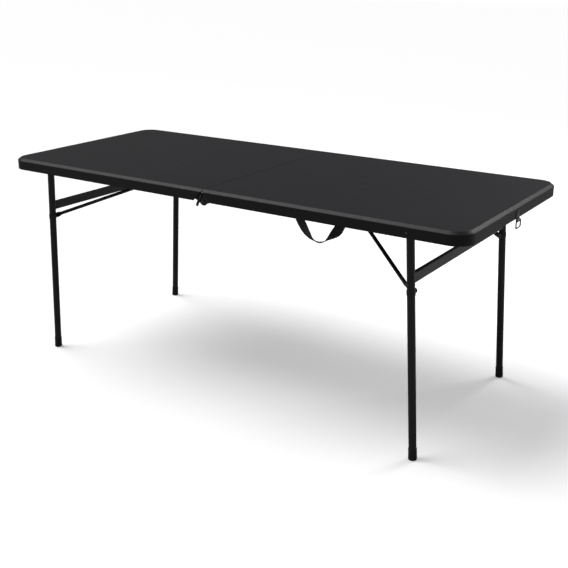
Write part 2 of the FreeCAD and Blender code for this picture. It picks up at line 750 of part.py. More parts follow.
def make_lever():
    """The lock lever, drawn straight down from its rivet and then leaned over."""
    body = new_body("LockLever")
    body.Placement = Placement(Vector(), Rotation(Y_AXIS, SIZES["lever_lean"]))
    body.setExpression("Placement.Rotation.Angle", "Sizes.lever_lean")
    place(body, ("Sizes.lever_x", "0", "Sizes.lever_z"))
    half, end = "Sizes.lever_half", "-Sizes.lever_length"
    drawings = [
        lambda sketch: draw_outline(sketch, rectangle(f"-{half}", half, end, "0")),
        lambda sketch: draw_circle(sketch, ("0", "0"), half),
        lambda sketch: draw_circle(sketch, ("0", end), "Sizes.lever_knob"),
    ]
    for draw in drawings:
        sketch = sketch_on(body, "XZ_Plane", "Sizes.lever_face")
        draw(sketch)
        extrude(body, "Pad", sketch, "Sizes.leaf_thick")
    bore = sketch_on(body, "XZ_Plane", "Sizes.lever_face")
    draw_circle(bore, ("0", "0"), "Sizes.lever_bore")
    extrude(body, "Pocket", bore, "Sizes.leaf_thick", True)
    return body


def make_lever_rivets():
    at = ("Sizes.lever_x", "Sizes.lever_z")
    back = "Sizes.lever_rivet_back"
    shank = front_rod("LeverRivetShank", "Sizes.lever_rivet", *at, "Sizes.right_leaf_face", back)
    face = f"{back} + Sizes.lever_rivet_height"
    head = front_rod("LeverRivetHead", "Sizes.lever_rivet_head", *at, back, face)
    return front_and_rear("LeverRivets", fuse("LeverRivet", shank, head))


def strap_line():
    """The middle of the loop: it leaves the skirt at a slant and is round at the bottom."""
    depth = value("Sizes.strap_exit - Sizes.strap_low") / CUBIC_DEPTH
    inward = depth / math.tan(math.radians(value("Sizes.strap_slant")))
    exit_height = value("Sizes.strap_exit")
    left, right = (Vector(value(f"Sizes.strap_{side}"), 0, exit_height) for side in ("left", "right"))
    line = Part.BezierCurve()
    line.setPoles([left, left + Vector(inward, 0, -depth), right - Vector(inward, 0, depth), right])
    return line


def strap_section(line, along):
    """The webbing's rectangular section at a share of the way round the loop, 0 to 1."""
    share = math.sin(math.pi * along) ** STRAP_EASE
    out = value("Sizes.strap_plane") + value("Sizes.strap_bow") * share
    run = line.tangent(along)[0]
    across = Rotation(run, -value("Sizes.strap_twist") * share).multVec(Y_AXIS.cross(run))
    return section_wire(line.value(along) - Y_AXIS * out, across, run.cross(across))


def section_wire(centre, across, through):
    across = across * (value("Sizes.strap_width") / 2)
    through = through * (value("Sizes.strap_thick") / 2)
    signs = ((-1, -1), (1, -1), (1, 1), (-1, 1), (-1, -1))
    return Part.makePolygon([centre + across * a + through * b for a, b in signs])


def make_strap():
    """Webbing that hangs in a loop, flat where it is fixed and turned over at the bottom."""
    line = strap_line()
    shares = [count / (STRAP_STATIONS - 1) for count in range(STRAP_STATIONS)]
    sections = [strap_section(line, share) for share in shares]
    rise = value("Sizes.strap_top - Sizes.strap_exit")
    ends = [sections[0].copy(), sections[-1].copy()]
    for end, share in zip(ends, (shares[0], shares[-1])):
        run = line.tangent(share)[0]
        end.translate(run * (rise / run.z))
    item = doc.addObject("Part::Feature", "HandleStrap")
    item.Shape = Part.makeLoft([ends[0], *sections, ends[1]], True, True)
    item.Placement = Placement()
    return item


def strap_rods(name, near, far):
    ends = (f"Sizes.strap_left - {STRAP_LEAN}", f"Sizes.strap_right + {STRAP_LEAN}")
    return [front_rod(name, "Sizes.strap_rivet", x, "Sizes.strap_rivet_z", near, far) for x in ends]


def make_latch_bracket():
    """A plate on the end skirt with a barrel for the wire loop."""
    half = "Sizes.latch_half"
    low = (HALF_LENGTH, f"-{half}", "Sizes.latch_pivot_z")
    high = (f"{HALF_LENGTH} + Sizes.latch_sheet", half, "Sizes.latch_top")
    start = ("Sizes.latch_pivot_x", f"-{half}", "Sizes.latch_pivot_z")
    barrel = rod("LatchBarrel", "y", "Sizes.latch_barrel", start, f"2 * {half}")
    blank = fuse("LatchBlank", block("LatchPlate", low, high), barrel)
    bore = rod("LatchBore", "y", "Sizes.latch_bore", start, f"2 * {half}")
    return cut("LatchBracket", blank, bore, *end_rivet_rods("LatchHole"))


def end_rivet_rods(name):
    start_x = f"{HALF_LENGTH} - 2 * Sizes.skirt"
    starts = [(start_x, f"{side}Sizes.end_rivet_y", "Sizes.end_rivet_z") for side in ("", "-")]
    return [rod(name, "x", "Sizes.end_rivet", start, "4 * Sizes.skirt") for start in starts]


def make_end_rivets():
    """Rivets through the end skirt and the plate outside it, headed on both sides."""
    inner, outer = f"({HALF_LENGTH} - Sizes.skirt)", f"({HALF_LENGTH} + Sizes.latch_sheet)"
    tall = "Sizes.end_rivet_height"
    rivets = []
    for side in ("", "-"):
        at = (f"{side}Sizes.end_rivet_y", "Sizes.end_rivet_z")
        shank = rod("EndRivetShank", "x", "Sizes.end_rivet", (inner, *at), f"{outer} - {inner}")
        head = rod("EndRivetHead", "x", "Sizes.end_rivet_head", (outer, *at), tall)
        tail = rod("EndRivetTail", "x", "Sizes.end_rivet_head", (f"{inner} - {tall}", *at), tall)
        rivets.append(fuse("EndRivet", shank, head, tail))
    return group("EndRivets", *rivets)


def make_latch_loop():
    """A closed wire loop that hangs from the bracket's barrel, rounder at its foot."""
    x, top = "Sizes.latch_pivot_x", "Sizes.latch_pivot_z"
    low = f"({top} - Sizes.loop_drop)"
    half, wire = "Sizes.loop_half", "Sizes.wire_radius"
    corner, foot = "Sizes.loop_corner", "Sizes.loop_foot"
    pieces = []
    for z, bend in ((top, corner), (low, foot)):
        pieces.append(rod("LoopBar", "y", wire, (x, f"-{half} + {bend}", z), f"2 * ({half} - {bend})"))
    for side in ("", "-"):
        start = (x, f"{side}{half}", f"{low} + {foot}")
        pieces.append(rod("LoopSide", "z", wire, start, f"Sizes.loop_drop - {foot} - {corner}"))
    corners = (
        (f"{top} - {corner}", "", corner, 0),
        (f"{top} - {corner}", "-", corner, 90),
        (f"{low} + {foot}", "-", foot, 180),
        (f"{low} + {foot}", "", foot, 270),
    )
    for centre_z, side, bend, first in corners:
        turn = doc.addObject("Part::Torus", "LoopCorner")
        turn.setExpression("Radius1", bend)
        turn.setExpression("Radius2", wire)
        turn.Angle3 = 90
        facing = Rotation(Y_AXIS, Vector(0, 0, 1), X_AXIS, "ZXY")
        turn.Placement = Placement(Vector(), facing.multiply(Rotation(Vector(0, 0, 1), first)))
        place(turn, (x, f"{side}({half} - {bend})", centre_z))
        pieces.append(turn)
    return fuse("LatchLoop", *pieces)


def make_catch():
    """The hook that the wire loop closes over, drawn on the +X side."""
    sheet_size, half, lip_half = "Sizes.latch_sheet", "Sizes.catch_half", "Sizes.catch_lip_half"
    end = f"({HALF_LENGTH} + Sizes.catch_reach)"
    shelf = "Sizes.catch_shelf"
    plate_high = (f"{HALF_LENGTH} + {sheet_size}", half, shelf)
    plate = block("CatchPlate", (HALF_LENGTH, f"-{half}", "Sizes.catch_low"), plate_high)
    ledge_low = (HALF_LENGTH, f"-{lip_half}", f"{shelf} - {sheet_size}")
    ledge = block("CatchLedge", ledge_low, (end, lip_half, shelf))
    lip_low = (f"{end} - {sheet_size}", f"-{lip_half}", f"{shelf} - {sheet_size}")
    lip = block("CatchLip", lip_low, (end, lip_half, f"{shelf} + Sizes.catch_lip"))
    return cut("CatchHook", fuse("CatchBlank", plate, ledge, lip), *end_rivet_rods("CatchHole"))


# The right half.
node(make_top(), "right_top")
strap_holes = strap_rods("StrapHole", "Sizes.strap_rivet_in", "Sizes.strap_rivet_out")
node(make_rail("FrontRail", *strap_holes), "right_front_rail")
plain_rail = make_rail("PlainRail")
node(rear_of(plain_rail), "right_rear_rail")
right_leaf = node(make_right_leaf(), "right_front_hinge_leaf")
node(rear_of(right_leaf), "right_rear_hinge_leaf")
bolt = node(make_hinge_bolt(), "front_hinge_bolt")
node(rear_of(bolt), "rear_hinge_bolt")
node(make_lever_rivets(), "lock_lever_rivets")
lever = node(make_lever(), "front_lock_lever")
node(rear_of(lever), "rear_lock_lever")
node(make_strap(), "handle_strap")
strap_rivets = strap_rods("StrapRivet", "Sizes.strap_rivet_in", "Sizes.strap_rivet_out")
node(group("StrapRivets", *strap_rivets), "handle_strap_rivets")
node(make_latch_bracket(), "latch_bracket")
end_rivets = node(make_end_rivets(), "latch_rivets")
node(make_latch_loop(), "latch_loop")

# What both halves share, drawn on the right.
right_pieces = {
    "top": nodes[0],
    "rear_rail": nodes[2],
    "rail_screws": make_rail_screws(),
    "axle_bushes": make_bushes(),
    "axle_end_screws": make_end_screws(),
    "hinge_rivets": make_hinge_rivets(),
    "slide_track": make_track(),
    "track_screws": make_track_screws(),
    "carriage": make_carriage(),
    "brace": make_brace(),
    "front_leg": make_leg(),
    "crossbar": make_crossbar(),
    "foot_caps": front_and_rear("FootCaps", make_foot_cap()),
    "brace_collars": front_and_rear("BraceCollars", make_collar()),
    "brace_studs": front_and_rear("BraceStuds", make_stud()),
}
right_pieces["rear_leg"] = rear_of(right_pieces["front_leg"])
axle_start = ("Sizes.pivot_x", "-Sizes.axle_reach", "Sizes.pivot_z")
right_pieces["axle"] = rod("Axle", "y", "Sizes.axle_radius", axle_start, "2 * Sizes.axle_reach")
for piece_name, piece in right_pieces.items():
    if piece not in nodes:
        node(piece, f"right_{piece_name}")
    node(mirrored(f"Left_{piece_name}", piece, X_AXIS), f"left_{piece_name}")

# What only the left half has.
left_leaf = make_left_leaf()
node(mirrored("LeftFrontLeaf", left_leaf, X_AXIS), "left_front_hinge_leaf")
node(mirrored("LeftRearLeaf", rear_of(left_leaf), X_AXIS), "left_rear_hinge_leaf")
node(mirrored("LeftFrontRail", plain_rail, X_AXIS), "left_front_rail")
node(mirrored("LeftCatch", make_catch(), X_AXIS), "catch_hook")
node(mirrored("LeftEndRivets", end_rivets, X_AXIS), "catch_rivets")

doc.recompute()

for item in doc.Objects:
    if {"Invalid", "Error"} & set(item.State):
        raise RuntimeError(f"{item.Label} failed: {item.State}")
for item in nodes:
    if item.Shape.isNull() or not item.Shape.isValid() or not item.Shape.Solids:
        raise RuntimeError(f"{item.Label} has no valid solid")

os.makedirs("parts", exist_ok=True)
for item in nodes:
    item.Shape.exportStep(f"parts/{item.Label}.step")
print(len(nodes), "pieces")
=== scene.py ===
import json
import math

import bmesh
import bpy
from mathutils import Matrix, Vector


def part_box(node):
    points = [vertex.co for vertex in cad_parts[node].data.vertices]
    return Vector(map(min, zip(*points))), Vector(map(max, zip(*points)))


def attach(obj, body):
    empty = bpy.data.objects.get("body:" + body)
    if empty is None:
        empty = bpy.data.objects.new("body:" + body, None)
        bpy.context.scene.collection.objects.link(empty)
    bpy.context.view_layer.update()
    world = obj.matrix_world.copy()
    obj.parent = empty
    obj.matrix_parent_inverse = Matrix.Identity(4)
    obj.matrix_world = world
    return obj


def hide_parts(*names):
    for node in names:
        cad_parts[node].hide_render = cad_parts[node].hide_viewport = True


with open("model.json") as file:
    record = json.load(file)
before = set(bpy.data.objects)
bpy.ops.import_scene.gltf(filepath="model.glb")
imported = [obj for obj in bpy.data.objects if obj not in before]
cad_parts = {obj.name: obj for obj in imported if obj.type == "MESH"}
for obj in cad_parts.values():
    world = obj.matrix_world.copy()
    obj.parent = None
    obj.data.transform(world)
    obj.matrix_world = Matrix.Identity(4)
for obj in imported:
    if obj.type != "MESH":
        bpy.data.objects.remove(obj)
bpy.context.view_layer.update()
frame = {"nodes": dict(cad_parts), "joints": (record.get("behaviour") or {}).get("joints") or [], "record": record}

MM = 0.001
SIDES = (("right", 1), ("left", -1))
EDGES = (("front", -1), ("rear", 1))

# Sizes in metres, read from the frame where a node gives them.
TOP_LOW, TOP_HIGH = (Vector(corner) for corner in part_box("right_top"))
JOINTS = {joint["name"]: joint for joint in frame["joints"]}


# ---------------------------------------------------------------- mesh helpers

def finish_mesh(bm, name, smooth_below=35):
    """Turn a bmesh into an object, smooth except where faces meet at a sharp angle."""
    bmesh.ops.recalc_face_normals(bm, faces=bm.faces)
    limit = math.radians(smooth_below)
    for edge in bm.edges:
        edge.smooth = edge.calc_face_angle(0) < limit
    for face in bm.faces:
        face.smooth = True
    mesh = bpy.data.meshes.new(name)
    bm.to_mesh(mesh)
    bm.free()
    piece = bpy.data.objects.new(name, mesh)
    bpy.context.collection.objects.link(piece)
    normals = piece.modifiers.new("face_weighted", "WEIGHTED_NORMAL")
    normals.keep_sharp = True
    return piece


def add_ring(bm, points):
    return [bm.verts.new(point) for point in points]


def bridge(bm, first, second, closed=True):
    """Quads between two rings of as many vertices."""
    count = len(first)
    for index in range(count if closed else count - 1):
        after = (index + 1) % count
        bm.faces.new((first[index], first[after], second[after], second[index]))


def add_loft(bm, rings):
    """A closed solid through rings of points."""
    made = [add_ring(bm, ring) for ring in rings]
    for first, second in zip(made, made[1:]):
        bridge(bm, first, second)
    bm.faces.new(made[0])
    bm.faces.new(reversed(made[-1]))


def add_lathe(bm, profile, base, axis, steps=32):
    """A solid of revolution from (radius, distance) pairs along an axis."""
    axis = Vector(axis).normalized()
    side = axis.orthogonal().normalized()
    other = axis.cross(side)
    rings = []
    for radius, distance in profile:
        turns = (2 * math.pi * step / steps for step in range(steps))
        centre = Vector(base) + axis * distance
        rings.append([centre + (side * math.cos(turn) + other * math.sin(turn)) * radius for turn in turns])
    add_loft(bm, rings)


def rounded_path(points, radius, steps=10):
    """A polyline whose inner corners are arcs."""
    path = [Vector(points[0])]
    for before, corner, after in zip(points, points[1:], points[2:]):
        corner = Vector(corner)
        back, ahead = (Vector(before) - corner), (Vector(after) - corner)
        turn = math.pi - back.angle(ahead)
        reach = min(radius * math.tan(turn / 2), 0.48 * back.length, 0.48 * ahead.length)
        size = reach / math.tan(turn / 2)
        back.normalize()
        ahead.normalize()
        centre = corner + (back + ahead).normalized() * (size / math.cos(turn / 2))
        first, last = corner + back * reach - centre, corner + ahead * reach - centre
        for step in range(steps + 1):
            path.append(centre + first.slerp(last, step / steps).normalized() * size)
    path.append(Vector(points[-1]))
    return path


def tube_rings(path, shape, steps=24, closed=False):
    """Rings round a path that lies in one plane. shape gives the two half sizes and the
    squareness of the section at a distance along the path."""
    normal = Vector((0, 0, 0))
    for before, here, after in zip(path, path[1:], path[2:]):
        normal = (here - before).cross(after - here)
        if normal.length > 0.05 * (here - before).length * (after - here).length:
            break
    normal.normalize()
    rings, travelled = [], 0
    count = len(path)
    for index, point in enumerate(path):
        before = path[index - 1] if index or closed else point
        after = path[(index + 1) % count] if index + 1 < count or closed else point
        travelled += (point - path[index - 1]).length if index else 0
        run = (after - before).normalized()
        across = normal.cross(run)
        half_across, half_normal, power = shape(travelled)
        ring = []
        for step in range(steps):
            turn = 2 * math.pi * step / steps
            c, s = math.cos(turn), math.sin(turn)
            flat = (abs(c) ** power + abs(s) ** power) ** (-1 / power)
            ring.append(point + across * (half_across * flat * c) + normal * (half_normal * flat * s))
        rings.append(ring)
    return rings


def add_plate(bm, outline, face, depth, chamfer):
    """A flat plate in a plane of constant y, with its edges taken off on both sides."""
    centre = sum((Vector(point) for point in outline), Vector((0, 0))) / len(outline)
    rings = []
    for along, inset in ((0, chamfer), (chamfer, 0), (depth - chamfer, 0), (depth, chamfer)):
        ring = []
        for point in outline:
            inward = centre - Vector(point)
            moved = Vector(point) + inward.normalized() * min(inset, inward.length)
            ring.append(Vector((moved.x, face + along, moved.y)))
        rings.append(ring)
    add_loft(bm, rings)


def arc_points(centre, radius, first, last, steps):
    """Points on an arc, with angles in degrees from +X towards +Z."""
    angles = (math.radians(first + (last - first) * step / steps) for step in range(steps + 1))
    return [(centre[0] + radius * math.cos(angle), centre[1] + radius * math.sin(angle)) for angle in angles]


def dress(piece, material, body, slot, *nodes):
    """Give a piece its material and its body, and hide the nodes that it stands for; the slot argument is not
    used.
    """
    piece.data.materials.clear()
    piece.data.materials.append(material)
    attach(piece, body)
    if nodes:
        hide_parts(*nodes)
    return piece


# ------------------------------------------------------------------- materials

def new_material(name, colour, roughness, **sockets):
    material = bpy.data.materials.new(name)
    material.use_nodes = True
    shader = material.node_tree.nodes["Principled BSDF"]
    shader.inputs["Base Color"].default_value = (*colour, 1)
    shader.inputs["Roughness"].default_value = roughness
    for socket, number in sockets.items():
        shader.inputs[socket.replace("_", " ")].default_value = number
    return material, material.node_tree.nodes, material.node_tree.links, shader


def add_node(nodes, kind, **settings):
    made = nodes.new(kind)
    for name, setting in settings.items():
        if name in made.inputs:
            made.inputs[name].default_value = setting
        else:
            setattr(made, name, setting)
    return made


def add_noises(nodes, links, place, *settings):
    """Noise textures that share one set of coordinates."""
    noises = [add_node(nodes, "ShaderNodeTexNoise", **setting) for setting in settings]
    for noise in noises:
        links.new(place, noise.inputs["Vector"])
    return noises


def add_ramp(nodes, links, source, low, high, first, last):
    """Map a factor between two stops to two colours."""
    ramp = nodes.new("ShaderNodeValToRGB")
    ramp.color_ramp.elements[0].position = low
    ramp.color_ramp.elements[1].position = high
    ramp.color_ramp.elements[0].color = first
    ramp.color_ramp.elements[1].color = last
    links.new(source, ramp.inputs["Fac"])
    return ramp.outputs["Color"]


def grey(level, alpha=1):
    return (level, level, level, alpha)


def add_bump(nodes, links, shader, layers):
    """Stack bumps, each a height, a strength and a depth in metres."""
    previous = None
    for height, strength, depth in layers:
        bump = nodes.new("ShaderNodeBump")
        bump.inputs["Strength"].default_value = strength
        bump.inputs["Distance"].default_value = depth
        links.new(height, bump.inputs["Height"])
        if previous:
            links.new(previous, bump.inputs["Normal"])
        previous = bump.outputs["Normal"]
    links.new(previous, shader.inputs["Normal"])


def mix_colours(nodes, links, factor, first, second):
    mix = nodes.new("ShaderNodeMix")
    mix.data_type = "RGBA"
    links.new(factor, mix.inputs["Factor"])
    for socket, colour in (("A", first), ("B", second)):
        target = next(i for i in mix.inputs if i.name == socket and i.type == "RGBA")
        if isinstance(colour, tuple):
            target.default_value = colour
        else:
            links.new(colour, target)
    return next(o for o in mix.outputs if o.type == "RGBA")


def plastic_material(name, colour, roughness, grain=900.0):
    """Blow-moulded polyethylene: a fine leathery grain, soft mottling and faint rubs."""
    material, nodes, links, shader = new_material(name, colour, roughness)
    shader.inputs["Specular IOR Level"].default_value = 0.2
    place = nodes.new("ShaderNodeTexCoord").outputs["Object"]
    cells = add_node(nodes, "ShaderNodeTexVoronoi", Scale=grain)
    links.new(place, cells.inputs["Vector"])
    fine, cloud, rubs = add_noises(
        nodes, links, place,
        {"Scale": grain * 2.2, "Detail": 3.0},
        {"Scale": 5.0, "Detail": 4.0, "Roughness": 0.6},
        {"Scale": 38.0, "Detail": 6.0, "Distortion": 1.4},
    )
    dark = tuple(0.95 * c for c in colour) + (1,)
    light = tuple(1.06 * c for c in colour) + (1,)
    base = add_ramp(nodes, links, cloud.outputs["Fac"], 0.3, 0.7, dark, light)
    mask = add_ramp(nodes, links, rubs.outputs["Fac"], 0.62, 0.8, grey(0), grey(0.25))
    pale = tuple(1.35 * c for c in colour) + (1,)
    links.new(mix_colours(nodes, links, mask, base, pale), shader.inputs["Base Color"])
    dull, bright = grey(roughness + 0.02), grey(roughness - 0.02)
    gloss = add_ramp(nodes, links, rubs.outputs["Fac"], 0.35, 0.7, dull, bright)
    links.new(gloss, shader.inputs["Roughness"])
    add_bump(nodes, links, shader, [
        (cells.outputs["Distance"], 0.35, 0.12 * MM),
        (fine.outputs["Fac"], 0.25, 0.05 * MM),
    ])
    return material


def coated_steel_material():
    """Black powder coat: a slight orange peel, specks and worn spots."""
    colour = (0.004, 0.004, 0.0044)
    material, nodes, links, shader = new_material("black_powder_coat", colour, 0.34)
    shader.inputs["Specular IOR Level"].default_value = 0.45
    place = nodes.new("ShaderNodeTexCoord").outputs["Object"]
    peel, wear, cloud = add_noises(
        nodes, links, place,
        {"Scale": 700.0, "Detail": 2.0},
        {"Scale": 60.0, "Detail": 7.0, "Roughness": 0.62},
        {"Scale": 14.0, "Detail": 3.0},
    )
    dark, light = (0.003, 0.003, 0.0034, 1), (0.006, 0.006, 0.0064, 1)
    base = add_ramp(nodes, links, cloud.outputs["Fac"], 0.3, 0.7, dark, light)
    mask = add_ramp(nodes, links, wear.outputs["Fac"], 0.66, 0.74, grey(0), grey(0.5))
    links.new(mix_colours(nodes, links, mask, base, (0.018, 0.018, 0.019, 1)), shader.inputs["Base Color"])
    gloss = add_ramp(nodes, links, wear.outputs["Fac"], 0.4, 0.7, grey(0.31), grey(0.42))
    links.new(gloss, shader.inputs["Roughness"])
    add_bump(nodes, links, shader, [(peel.outputs["Fac"], 0.3, 0.06 * MM)])
    return material


def plated_material(name, dark, light):
    """Plated steel with fine drawn lines and a faint cloud."""
    material, nodes, links, shader = new_material(name, dark[:3], 0.3, Metallic=1.0)
    place = nodes.new("ShaderNodeTexCoord").outputs["Object"]
    lines, cloud = add_noises(
        nodes, links, place, {"Scale": 2400.0, "Detail": 2.0}, {"Scale": 160.0, "Detail": 4.0})
    tone = add_ramp(nodes, links, cloud.outputs["Fac"], 0.3, 0.7, dark, light)
    links.new(tone, shader.inputs["Base Color"])
    gloss = add_ramp(nodes, links, cloud.outputs["Fac"], 0.3, 0.7, grey(0.24), grey(0.4))
    links.new(gloss, shader.inputs["Roughness"])
    add_bump(nodes, links, shader, [(lines.outputs["Fac"], 0.2, 0.03 * MM)])
    return material


def rubber_material():
    """Moulded rubber, dull, dusty in places and scuffed."""
    material, nodes, links, shader = new_material("black_rubber", (0.012, 0.012, 0.012), 0.62)
    shader.inputs["Specular IOR Level"].default_value = 0.3
    place = nodes.new("ShaderNodeTexCoord").outputs["Object"]
    dust, fine = add_noises(
        nodes, links, place, {"Scale": 90.0, "Detail": 6.0}, {"Scale": 1500.0, "Detail": 2.0})
    dusty = (0.026, 0.025, 0.024, 1)
    tone = add_ramp(nodes, links, dust.outputs["Fac"], 0.35, 0.75, grey(0.01), dusty)
    links.new(tone, shader.inputs["Base Color"])
    gloss = add_ramp(nodes, links, dust.outputs["Fac"], 0.3, 0.7, grey(0.55), grey(0.75))
    links.new(gloss, shader.inputs["Roughness"])
    add_bump(nodes, links, shader, [(fine.outputs["Fac"], 0.4, 0.06 * MM)])
    return material


def webbing_material():
    """Woven polypropylene: a herringbone of short yarns, read from the strap's own UVs,
    which hold the distance across and along it in centimetres."""
    colour = (0.01, 0.01, 0.011)
    material, nodes, links, shader = new_material("black_webbing", colour, 0.6, Sheen_Weight=0.08)
    shader.inputs["Specular IOR Level"].default_value = 0.35
    place = nodes.new("ShaderNodeUVMap").outputs["UV"]
    layers = []
    for angle, scale in ((0.62, 5.2), (-0.62, 5.2)):
        mapping = add_node(nodes, "ShaderNodeMapping")
        mapping.inputs["Rotation"].default_value = (0, 0, angle)
        links.new(place, mapping.inputs["Vector"])
        wave = add_node(nodes, "ShaderNodeTexWave", Scale=scale, Distortion=0.5, Detail=1.0)
        links.new(mapping.outputs["Vector"], wave.inputs["Vector"])
        layers.append(wave.outputs["Fac"])
    weave = nodes.new("ShaderNodeMath")
    weave.operation = "MAXIMUM"
    links.new(layers[0], weave.inputs[0])
    links.new(layers[1], weave.inputs[1])
    fuzz, = add_noises(nodes, links, place, {"Scale": 60.0, "Detail": 4.0})
    dark, light = (0.0025, 0.0025, 0.0028, 1), (0.009, 0.009, 0.0096, 1)
    tone = add_ramp(nodes, links, weave.outputs[0], 0.1, 0.9, dark, light)
    links.new(tone, shader.inputs["Base Color"])
    gloss = add_ramp(nodes, links, fuzz.outputs["Fac"], 0.3, 0.7, grey(0.5), grey(0.72))
    links.new(gloss, shader.inputs["Roughness"])
    add_bump(nodes, links, shader, [
        (weave.outputs[0], 0.7, 0.3 * MM),
        (fuzz.outputs["Fac"], 0.2, 0.08 * MM),
    ])
    return material


FLOOR_BOUNCE = 0.3
FLOOR_SEEN = 0.94
FLOOR_GLOW = 0.25


def floor_material():
    """A plain white studio floor, which throws little light back up at the table."""
    material, nodes, links, shader = new_material("pale_floor", (0.9, 0.9, 0.9), 0.9)
    shader.inputs["Emission Color"].default_value = grey(1)
    seen = nodes.new("ShaderNodeLightPath").outputs["Is Camera Ray"]
    tone = add_ramp(nodes, links, seen, 0, 1, grey(FLOOR_BOUNCE), grey(FLOOR_SEEN))
    links.new(tone, shader.inputs["Base Color"])
    glow = add_node(nodes, "ShaderNodeMath", operation="MULTIPLY")
    glow.inputs[1].default_value = FLOOR_GLOW
    links.new(seen, glow.inputs[0])
    links.new(glow.outputs[0], shader.inputs["Emission Strength"])
    return material


PLASTIC = plastic_material("black_polyethylene", (0.0135, 0.0138, 0.0158), 0.46)
NYLON = plastic_material("black_nylon", (0.012, 0.012, 0.013), 0.38, grain=1600.0)
STEEL = coated_steel_material()
ZINC = plated_material("zinc_plate", (0.5, 0.5, 0.52, 1), (0.72, 0.71, 0.7, 1))
BLACK_ZINC = plated_material("black_zinc_plate", (0.05, 0.05, 0.055, 1), (0.11, 0.11, 0.115, 1))
RUBBER = rubber_material()
WEBBING = webbing_material()
BY_SLOT = {
    "top_plastic": PLASTIC, "black_steel": STEEL, "bright_steel": ZINC, "dark_fasteners": BLACK_ZINC,
    "nylon": NYLON, "foot_rubber": RUBBER, "webbing": WEBBING,
}
for part in frame["record"]["subparts"]:
    node_mesh = frame["nodes"][part["node"]].data
    for index in range(len(node_mesh.materials)):
        frame["nodes"][part["node"]].material_slots[index].material = BY_SLOT[part["material_slot"]]


# ---------------------------------------------------------------------- the top

CORNER_RADIUS = 60 * MM
SKIRT = 3.5 * MM
NOTCH_TOP = TOP_LOW.z + 36 * MM
SEAM_X = TOP_LOW.x
PANEL_BOTTOM = TOP_HIGH.z - 10.5 * MM
CORNER_STEPS = 18
DIMPLE_PITCH = 42 * MM
DIMPLE_TOP_RADIUS = 5 * MM
DIMPLE_MOUTH_RADIUS = 8.5 * MM
DIMPLE_DEPTH = 7 * MM
DIMPLE_STEPS = 16
DIMPLE_FIELD = ((24 * MM, 878 * MM), 350 * MM)
WALL_REACH = 330 * MM
WALL_THICK = 4 * MM
EVEN = 1e-6


def half_outline(sign, inset, height, start):
    """Round one half of the top from the front end of the seam to the rear end."""
    radius = CORNER_RADIUS - inset
    far_x, far_y = TOP_HIGH.x - CORNER_RADIUS, TOP_HIGH.y - CORNER_RADIUS
    flat = [(start, -TOP_HIGH.y + inset)]
    for centre_y, first in ((-far_y, -90), (far_y, 0)):
        for step in range(CORNER_STEPS + 1):
            turn = math.radians(first + 90 * step / CORNER_STEPS)
            flat.append((far_x + radius * math.cos(turn), centre_y + radius * math.sin(turn)))
    flat.append((start, TOP_HIGH.y - inset))
    return [(sign * x, y, height) for x, y in flat]


def add_box(bm, low, high):
    low, high = Vector(low), Vector(high)
    scale = Matrix.Diagonal((*(high - low), 1))
    bmesh.ops.create_cube(bm, size=1, matrix=Matrix.Translation((low + high) / 2) @ scale)


def dimple_field(bm, sign):
    """The panel's underside: rows of round tack-off recesses. Returns its rim's edges."""
    (x_low, x_high), y_half = DIMPLE_FIELD
    columns = round((x_high - x_low) / DIMPLE_PITCH)
    rows = round(2 * y_half / DIMPLE_PITCH)
    step_x, step_y = (x_high - x_low) / columns, 2 * y_half / rows
    profile = ((DIMPLE_MOUTH_RADIUS, 0), (DIMPLE_MOUTH_RADIUS - MM, 0.8 * MM),
               (DIMPLE_TOP_RADIUS, DIMPLE_DEPTH - MM), (DIMPLE_TOP_RADIUS - MM, DIMPLE_DEPTH))
    turns = [2 * math.pi * step / DIMPLE_STEPS for step in range(DIMPLE_STEPS)]
    corners = {}

    def rim_vertex(i, j):
        """Shared points at cell corners and the middles of cell sides, in half steps."""
        if (i, j) not in corners:
            x, y = x_low + i * step_x / 2, -y_half + j * step_y / 2
            corners[i, j] = bm.verts.new((sign * x, y, PANEL_BOTTOM))
        return corners[i, j]

    for column in range(columns):
        for row in range(rows):
            i, j = 2 * column, 2 * row
            around = [(i + 2, j + 1), (i + 2, j + 2), (i + 1, j + 2), (i, j + 2),
                      (i, j + 1), (i, j), (i + 1, j), (i + 2, j)]
            square = [rim_vertex(*spot) for spot in around]
            centre = Vector((x_low + (column + 0.5) * step_x, -y_half + (row + 0.5) * step_y))
            rings = []
            for radius, rise in profile:
                rings.append(add_ring(bm, [
                    (sign * (centre.x + radius * math.cos(turn)),
                     centre.y + radius * math.sin(turn), PANEL_BOTTOM + rise)
                    for turn in turns
                ]))
            for first, second in zip(rings, rings[1:]):
                bridge(bm, first, second)
            bm.faces.new(rings[-1])
            mouth = rings[0]
            for side in range(8):
                after = (side + 1) % 8
                a, b, c = mouth[2 * side], mouth[2 * side + 1], mouth[(2 * side + 2) % DIMPLE_STEPS]
                bm.faces.new((square[side], square[after], c, b, a))
    return [edge for edge in bm.edges if len(edge.link_faces) == 1
            and all(abs(v.co.z - PANEL_BOTTOM) < EVEN for v in edge.verts)]


